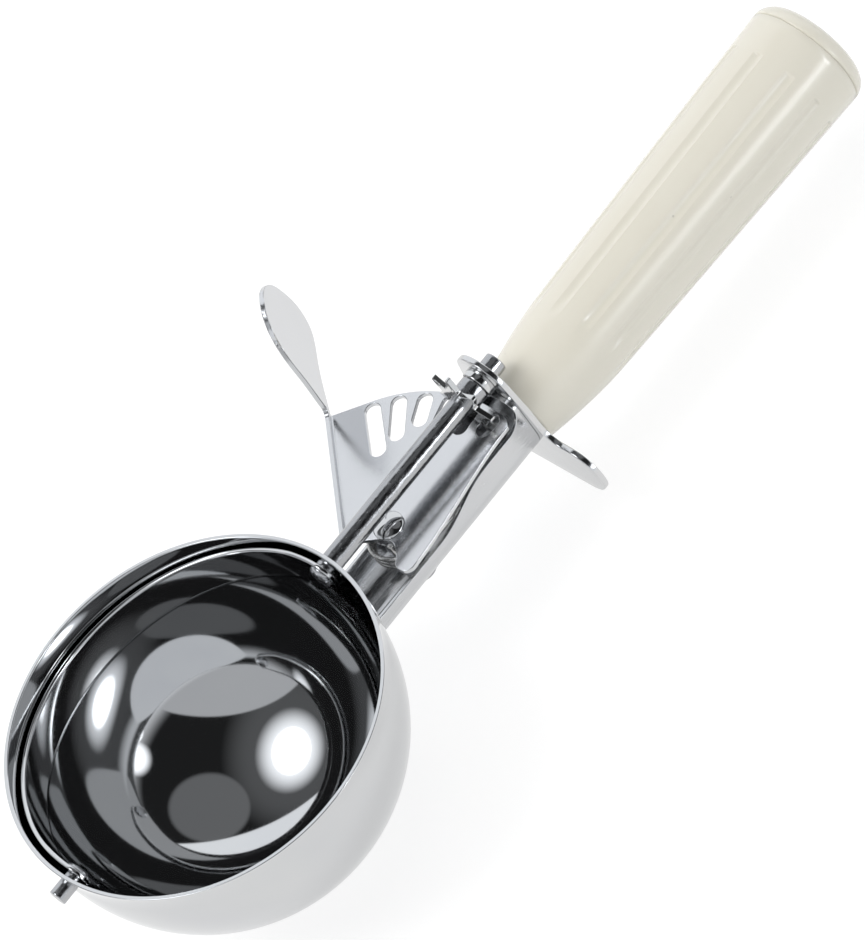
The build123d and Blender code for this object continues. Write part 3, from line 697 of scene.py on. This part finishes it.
class SCOOP_OT_pivot(bpy.types.Operator):
    """Turns the lever's post, rivet and washer and winds its spring"""

    bl_idname = "scoop.pivot"
    bl_label = "Lever pivot and spring"

    def execute(self, context):
        post = dressed_copy("lever_post", "pivot_post", 0.1)
        fit_in(post, "frame", "turned_steel", "drawn_stainless_bar", "lever_post")

        dome = arc((DOME_TOP - DOME_RADIUS, 0.0), DOME_RADIUS, 0.0, DOME_SWEEP, 12)
        dome[-1, 1] = RIVET_RADIUS - 0.05
        under = [
            (RIVET_EDGE_Z, RIVET_RADIUS),
            (RIVET_SEAT_Z, RIVET_RADIUS),
            (RIVET_SEAT_Z, RIVET_SHANK),
            (RIVET_END_Z, RIVET_SHANK),
            (RIVET_END_Z, 0),
        ]
        rivet = turned("pivot_rivet", np.concatenate([dome, rounded(under, 0.1)]), PIVOT, axis="Z")
        fit_in(rivet, "frame", "polished_steel", "polished_stainless_steel", "lever_rivet")

        section = [
            (WASHER_LOW, WASHER_BORE),
            (WASHER_LOW, WASHER_RADIUS),
            (WASHER_HIGH, WASHER_RADIUS),
            (WASHER_HIGH, WASHER_BORE),
            (WASHER_LOW, WASHER_BORE),
        ]
        washer = turned("pivot_washer", rounded(section, 0.08), PIVOT, axis="Z")
        fit_in(washer, "frame", "turned_steel", "drawn_stainless_bar", "lever_washer")

        spring = tube("return_spring", self.wire(), WIRE_RADIUS)
        fit_in(spring, None, "spring_steel", "spring_wire", "lever_spring")
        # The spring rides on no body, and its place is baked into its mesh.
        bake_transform(spring)
        return {"FINISHED"}

    def wire(self):
        """The spring's middle line, in millimetres: leg, coil, bend and tip.

        The leg runs straight along the trough. The coil is a helix that turns clockwise round the
        post while it climbs by its pitch. A quadratic bend takes it up into the lever's notch.
        """
        t = np.linspace(0, 1, 240)
        angle = np.radians(-90 - 360 * COIL_TURNS * t)
        height = COIL_LOW + COIL_PITCH * COIL_TURNS * t
        round_x, round_y = COIL_RADIUS * np.cos(angle), COIL_RADIUS * np.sin(angle)
        coil = np.stack([PIVOT_X + round_x, round_y, height], -1)
        s = np.linspace(0, 1, 30)[:-1, None]
        leg = np.array(LEG_END) * (1 - s) + coil[0] * s
        before, top = coil[-6], coil[-1]
        risen = top + (0, 0, BEND_RISE)
        u = np.linspace(0, 1, 12)[1:, None]
        bend = before * (1 - u) ** 2 + 2 * u * (1 - u) * top + u**2 * risen
        tip = risen * (1 - u) + np.array([top[0], top[1], TIP_TOP]) * u
        return np.concatenate([leg, coil[:-6], bend, tip])


class SCOOP_OT_handle(bpy.types.Operator):
    """Moulds the fluted handle and its end cap"""

    bl_idname = "scoop.handle"
    bl_label = "Handle"

    def execute(self, context):
        sizes = context.scene.scoop
        points = self.grip(sizes.flute_depth / MM, sizes.flute_width / MM)
        grip = grid_mesh("fluted_handle", points * MM + np.array(HANDLE_LINE), wrap_rows=True)
        fit_in(grip, "frame", "ivory_plastic", "moulded_ivory_plastic", "handle_grip")

        centre = (GRIP_BACK, SEAM_RADIUS - CAP_LENGTH)
        edge = arc(centre, CAP_LENGTH, 0.0, CAP_SWEEP, 14)
        spigot = [
            (GRIP_BACK, BACK_RADIUS),
            (GRIP_BACK, SPIGOT_OUTER),
            (SPIGOT_END, SPIGOT_OUTER),
            (SPIGOT_END, SPIGOT_INNER),
            (GRIP_BACK, SPIGOT_INNER),
            (GRIP_BACK, 0),
        ]
        butt = [(GRIP_BACK + CAP_LENGTH, 0.0)]
        profile = np.concatenate([butt, edge, rounded(spigot, 0.1)])
        cap = turned("handle_cap", profile, HANDLE_LINE, steps=128)
        fit_in(cap, "frame", "ivory_plastic", "moulded_ivory_plastic", "handle_end_cap")
        return {"FINISHED"}

    def taper(self, x):
        """The handle's radius at each x: cubic Hermite curves between the knots of the taper."""
        knots, radii, slopes = np.array(TAPER).T
        i = np.clip(np.searchsorted(knots, x, side="right") - 1, 0, len(knots) - 2)
        run = knots[i + 1] - knots[i]
        t = (x - knots[i]) / run
        return (
            (2 * t**3 - 3 * t**2 + 1) * radii[i]
            + (t**3 - 2 * t**2 + t) * run * slopes[i]
            + (-2 * t**3 + 3 * t**2) * radii[i + 1]
            + (t**3 - t**2) * run * slopes[i + 1]
        )

    def grip(self, depth, width):
        """The grip's rings of points, in millimetres from the handle's line.

        Radius = taper - depth x fade along X x (1 - (distance from the flute's middle / half its
        width)^2)^power. Behind the seam come the butt's face, the counterbore, the bolt's bore and
        the front face.
        """
        x = np.unique(np.concatenate([np.linspace(*span) for span in SPANS]))
        radius = self.taper(x)[:, None]
        theta = np.linspace(0, 2 * math.pi, 480, endpoint=False)
        pitch, first = math.radians(FLUTE_PITCH), math.radians(FLUTE_FIRST)
        off = (theta - first + pitch / 2) % pitch - pitch / 2
        across = np.abs(radius * off) / (width / 2)
        section = np.clip(1 - across**2, 0, 1) ** FLUTE_POWER
        start = np.clip((x - FLUTE_START) / FLUTE_RUN_IN, 0, 1)
        stop = np.clip((FLUTE_END - x) / FLUTE_STOP, 0, 1)
        fade = (start**2 * (3 - 2 * start) * stop)[:, None]
        fluted = radius - depth * fade * section

        seam = [(GRIP_SEAM, SEAM_RADIUS), (GRIP_BACK, BACK_RADIUS)]
        back = rounded(seam + [(GRIP_BACK, COUNTERBORE), (COUNTERBORE_FLOOR, COUNTERBORE)], 0.08)
        bore = [(COUNTERBORE_FLOOR, BOLT_BORE), (GRIP_FRONT, BOLT_BORE)]
        front = rounded(bore + [(GRIP_FRONT, FRONT_FACE_RADIUS)], 0.1)
        ring = np.concatenate([back[1:], front])
        along = np.concatenate([x, ring[:, 0]])[:, None]
        out = np.concatenate([fluted, np.repeat(ring[:, 1:], len(theta), 1)])
        along = np.repeat(along, len(theta), 1)
        return np.stack([along, out * np.cos(theta), out * np.sin(theta)], -1)


class SCOOP_OT_fasteners(bpy.types.Operator):
    """Finishes the bolt, washer and nut inside the handle"""

    bl_idname = "scoop.fasteners"
    bl_label = "Bolt, washer and nut"

    def execute(self, context):
        zinc = bpy.data.materials["zinc_plated_steel"]
        for node in ("handle_bolt", "bolt_washer", "bolt_nut"):
            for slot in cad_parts[node].material_slots:
                slot.material = zinc
        return {"FINISHED"}


class SCOOP_OT_stage(bpy.types.Operator):
    """Lays the white floor, hangs the lamps and places the camera"""

    bl_idname = "scoop.stage"
    bl_label = "Floor, lamps and camera"

    def execute(self, context):
        context.scene.view_settings.view_transform = "Standard"
        self.floor(context.scene)
        self.world(context.scene)
        self.lamps(context.scene)
        self.camera(context.scene)
        return {"FINISHED"}

    def toward(self, leaning, bearing):
        """The direction that leans from straight up toward a bearing from +X."""
        lean, turn = math.radians(leaning), math.radians(bearing)
        return math.sin(lean) * math.cos(turn), math.sin(lean) * math.sin(turn), math.cos(lean)

    def floor(self, scene):
        """White card. Seen straight on or in the metal it is near white, and it keeps a faint shadow."""
        material = bpy.data.materials.new("white_card")
        material.use_nodes = True
        tree = material.node_tree
        tree.nodes.clear()
        card = add(tree, "ShaderNodeBsdfDiffuse", inputs={"Color": linear("#F0F0F0")})
        seen = add(tree, "ShaderNodeLightPath")
        # The metal mirrors a slightly duller card than the camera sees.
        strength = add(
            tree,
            "ShaderNodeMapRange",
            inputs={"Value": seen.outputs["Is Glossy Ray"], "To Min": GLOW_SEEN, "To Max": GLOW_MIRRORED},
        )
        glow = add(
            tree,
            "ShaderNodeEmission",
            inputs={"Color": (1, 1, 1, 1), "Strength": strength.outputs[0]},
        )
        pale = add(
            tree,
            "ShaderNodeMixShader",
            inputs={0: GLOW_SHARE, 1: card.outputs[0], 2: glow.outputs[0]},
        )
        direct = add(
            tree,
            "ShaderNodeMath",
            {"operation": "MAXIMUM"},
            {0: seen.outputs["Is Camera Ray"], 1: seen.outputs["Is Glossy Ray"]},
        )
        pick = add(
            tree,
            "ShaderNodeMixShader",
            inputs={0: direct.outputs[0], 1: card.outputs[0], 2: pale.outputs[0]},
        )
        add(tree, "ShaderNodeOutputMaterial", inputs={"Surface": pick.outputs[0]})
        level = CAD_LOW.z - FLOOR_GAP
        signs = ((-1, -1), (1, -1), (1, 1), (-1, 1))
        mesh = bpy.data.meshes.new("floor")
        mesh.from_pydata([(x * FLOOR_HALF, y * FLOOR_HALF, level) for x, y in signs], [], [(0, 1, 2, 3)])
        mesh.materials.append(material)
        floor = bpy.data.objects.new("floor", mesh)
        scene.collection.objects.link(floor)

    def world(self, scene):
        """A dark ceiling over a white room, with soft panels; the camera itself sees white behind all."""
        world = bpy.data.worlds.new("studio")
        scene.world = world
        world.use_nodes = True
        tree = world.node_tree
        tree.nodes.clear()
        place = add(tree, "ShaderNodeTexCoord").outputs["Generated"]
        level = add(tree, "ShaderNodeValue").outputs[0]
        level.default_value = ROOM_DARK
        for leaning, bearing, reach, soft, strength in PANELS:
            # Full inside the reach, none past the soft edge, and the brighter of any two.
            facing = add(
                tree,
                "ShaderNodeVectorMath",
                {"operation": "DOT_PRODUCT"},
                {0: place, 1: self.toward(leaning, bearing)},
            )
            light = add(
                tree,
                "ShaderNodeMapRange",
                {"interpolation_type": "SMOOTHSTEP"},
                {
                    "Value": facing.outputs["Value"],
                    "From Min": math.cos(math.radians(reach + soft)),
                    "From Max": math.cos(math.radians(reach)),
                    "To Min": 0.0,
                    "To Max": strength,
                },
            )
            level = add(
                tree, "ShaderNodeMath", {"operation": "MAXIMUM"}, {0: level, 1: light.outputs[0]}
            ).outputs[0]
        room = add(tree, "ShaderNodeBackground", inputs={"Color": COOL_WHITE, "Strength": level})
        white = add(tree, "ShaderNodeBackground", inputs={"Color": (1, 1, 1, 1), "Strength": 1.0})
        seen = add(tree, "ShaderNodeLightPath")
        pick = add(
            tree,
            "ShaderNodeMixShader",
            inputs={0: seen.outputs["Is Camera Ray"], 1: room.outputs[0], 2: white.outputs[0]},
        )
        add(tree, "ShaderNodeOutputWorld", inputs={"Surface": pick.outputs[0]})

    def lamps(self, scene):
        """Round lamps aimed at the bowl; the metal mirrors the room's panels and not the lamps."""
        for name, leaning, bearing, distance, size, watts in LAMPS:
            lamp = bpy.data.lights.new(name, "AREA")
            lamp.shape = "DISK"
            lamp.size = size
            lamp.energy = watts
            lamp.color = WARM_WHITE
            holder = bpy.data.objects.new(name, lamp)
            toward = Vector(self.toward(leaning, bearing))
            aim = (-toward).to_track_quat("-Z", "Y")
            holder.matrix_world = Matrix.LocRotScale(toward * distance, aim, None)
            holder.visible_glossy = False
            scene.collection.objects.link(holder)

    def camera(self, scene):
        """A long lens 1.2 m away, above the bowl and on the near side of the handle."""
        lens = bpy.data.cameras.new("camera")
        lens.lens = FOCAL_LENGTH
        lens.sensor_width = 36.0
        lens.clip_start, lens.clip_end = 0.05, 20.0
        camera = bpy.data.objects.new("camera", lens)
        right, up = Vector(IMAGE_RIGHT).normalized(), Vector(IMAGE_UP).normalized()
        turn = Matrix((right, up, right.cross(up))).transposed()
        camera.matrix_world = Matrix.Translation(CAMERA_PLACE) @ turn.to_4x4()
        scene.collection.objects.link(camera)
        scene.camera = camera


class SCOOP_PT_panel(bpy.types.Panel):
    """Lists the sizes and the steps that build the scoop"""

    bl_label = "Ice cream scoop"
    bl_idname = "SCOOP_PT_panel"
    bl_space_type = "VIEW_3D"
    bl_region_type = "UI"
    bl_category = "Scoop"

    def draw(self, context):
        for name in ScoopSizes.__annotations__:
            self.layout.prop(context.scene.scoop, name)
        for step in STEPS:
            self.layout.operator(step.bl_idname)


STEPS = (
    SCOOP_OT_materials,
    SCOOP_OT_bowl,
    SCOOP_OT_scraper,
    SCOOP_OT_gear,
    SCOOP_OT_guard,
    SCOOP_OT_lever,
    SCOOP_OT_pivot,
    SCOOP_OT_handle,
    SCOOP_OT_fasteners,
    SCOOP_OT_stage,
)
CLASSES = (ScoopSizes, *STEPS, SCOOP_PT_panel)


def register():
    for item in CLASSES:
        bpy.utils.register_class(item)
    bpy.types.Scene.scoop = PointerProperty(type=ScoopSizes)


def unregister():
    del bpy.types.Scene.scoop
    for item in reversed(CLASSES):
        bpy.utils.unregister_class(item)


def main():
    """Builds everything in order."""
    register()
    for step in STEPS:
        group, name = step.bl_idname.split(".")
        getattr(getattr(bpy.ops, group), name)()


if __name__ == "__main__":
    main()
